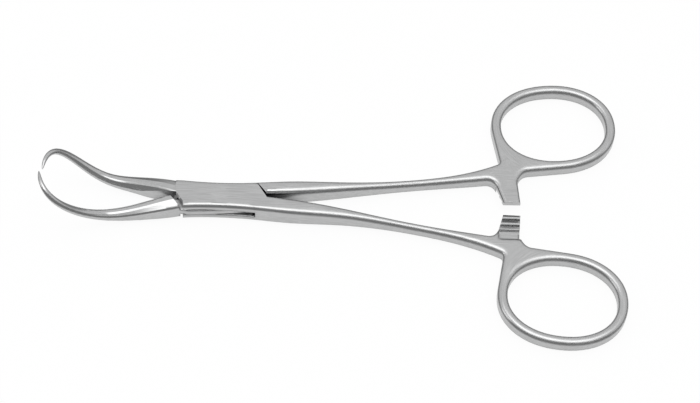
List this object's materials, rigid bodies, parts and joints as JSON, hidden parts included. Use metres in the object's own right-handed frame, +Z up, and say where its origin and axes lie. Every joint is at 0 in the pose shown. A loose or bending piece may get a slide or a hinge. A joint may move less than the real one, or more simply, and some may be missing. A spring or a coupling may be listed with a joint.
{
  "type": "towel clamp",
  "caption": "Ring-handled surgical towel clamp: box-lock hinge, ratchet catch between the shanks, and slender claw jaws that curve up to needle points.",
  "frame": {"origin": "On the hinge axis, in the plane the clamp lies on (under the box lock)", "axes": "+X towards the finger rings, +Y towards the ring of the half that passes through the box, +Z up, the way the claws curve"},
  "size_m": [0.1341, 0.0722, 0.0132],
  "materials": {
    "satin_steel_box_half": "satin",
    "satin_steel_key_half": "satin",
    "ground_steel_pin": "satin"
  },
  "bodies": {
    "box_body": {"female_half": "satin_steel_box_half", "pivot_pin": "ground_steel_pin"},
    "key_body": {"male_half": "satin_steel_key_half"}
  },
  "joints": [
    {"name": "box_lock_hinge", "type": "hinge", "parent": "box_body", "child": "key_body", "pos_m": [0, 0, 0], "axis": [0, 0, 1], "range_deg": [-3.6, 60]}
  ]
}
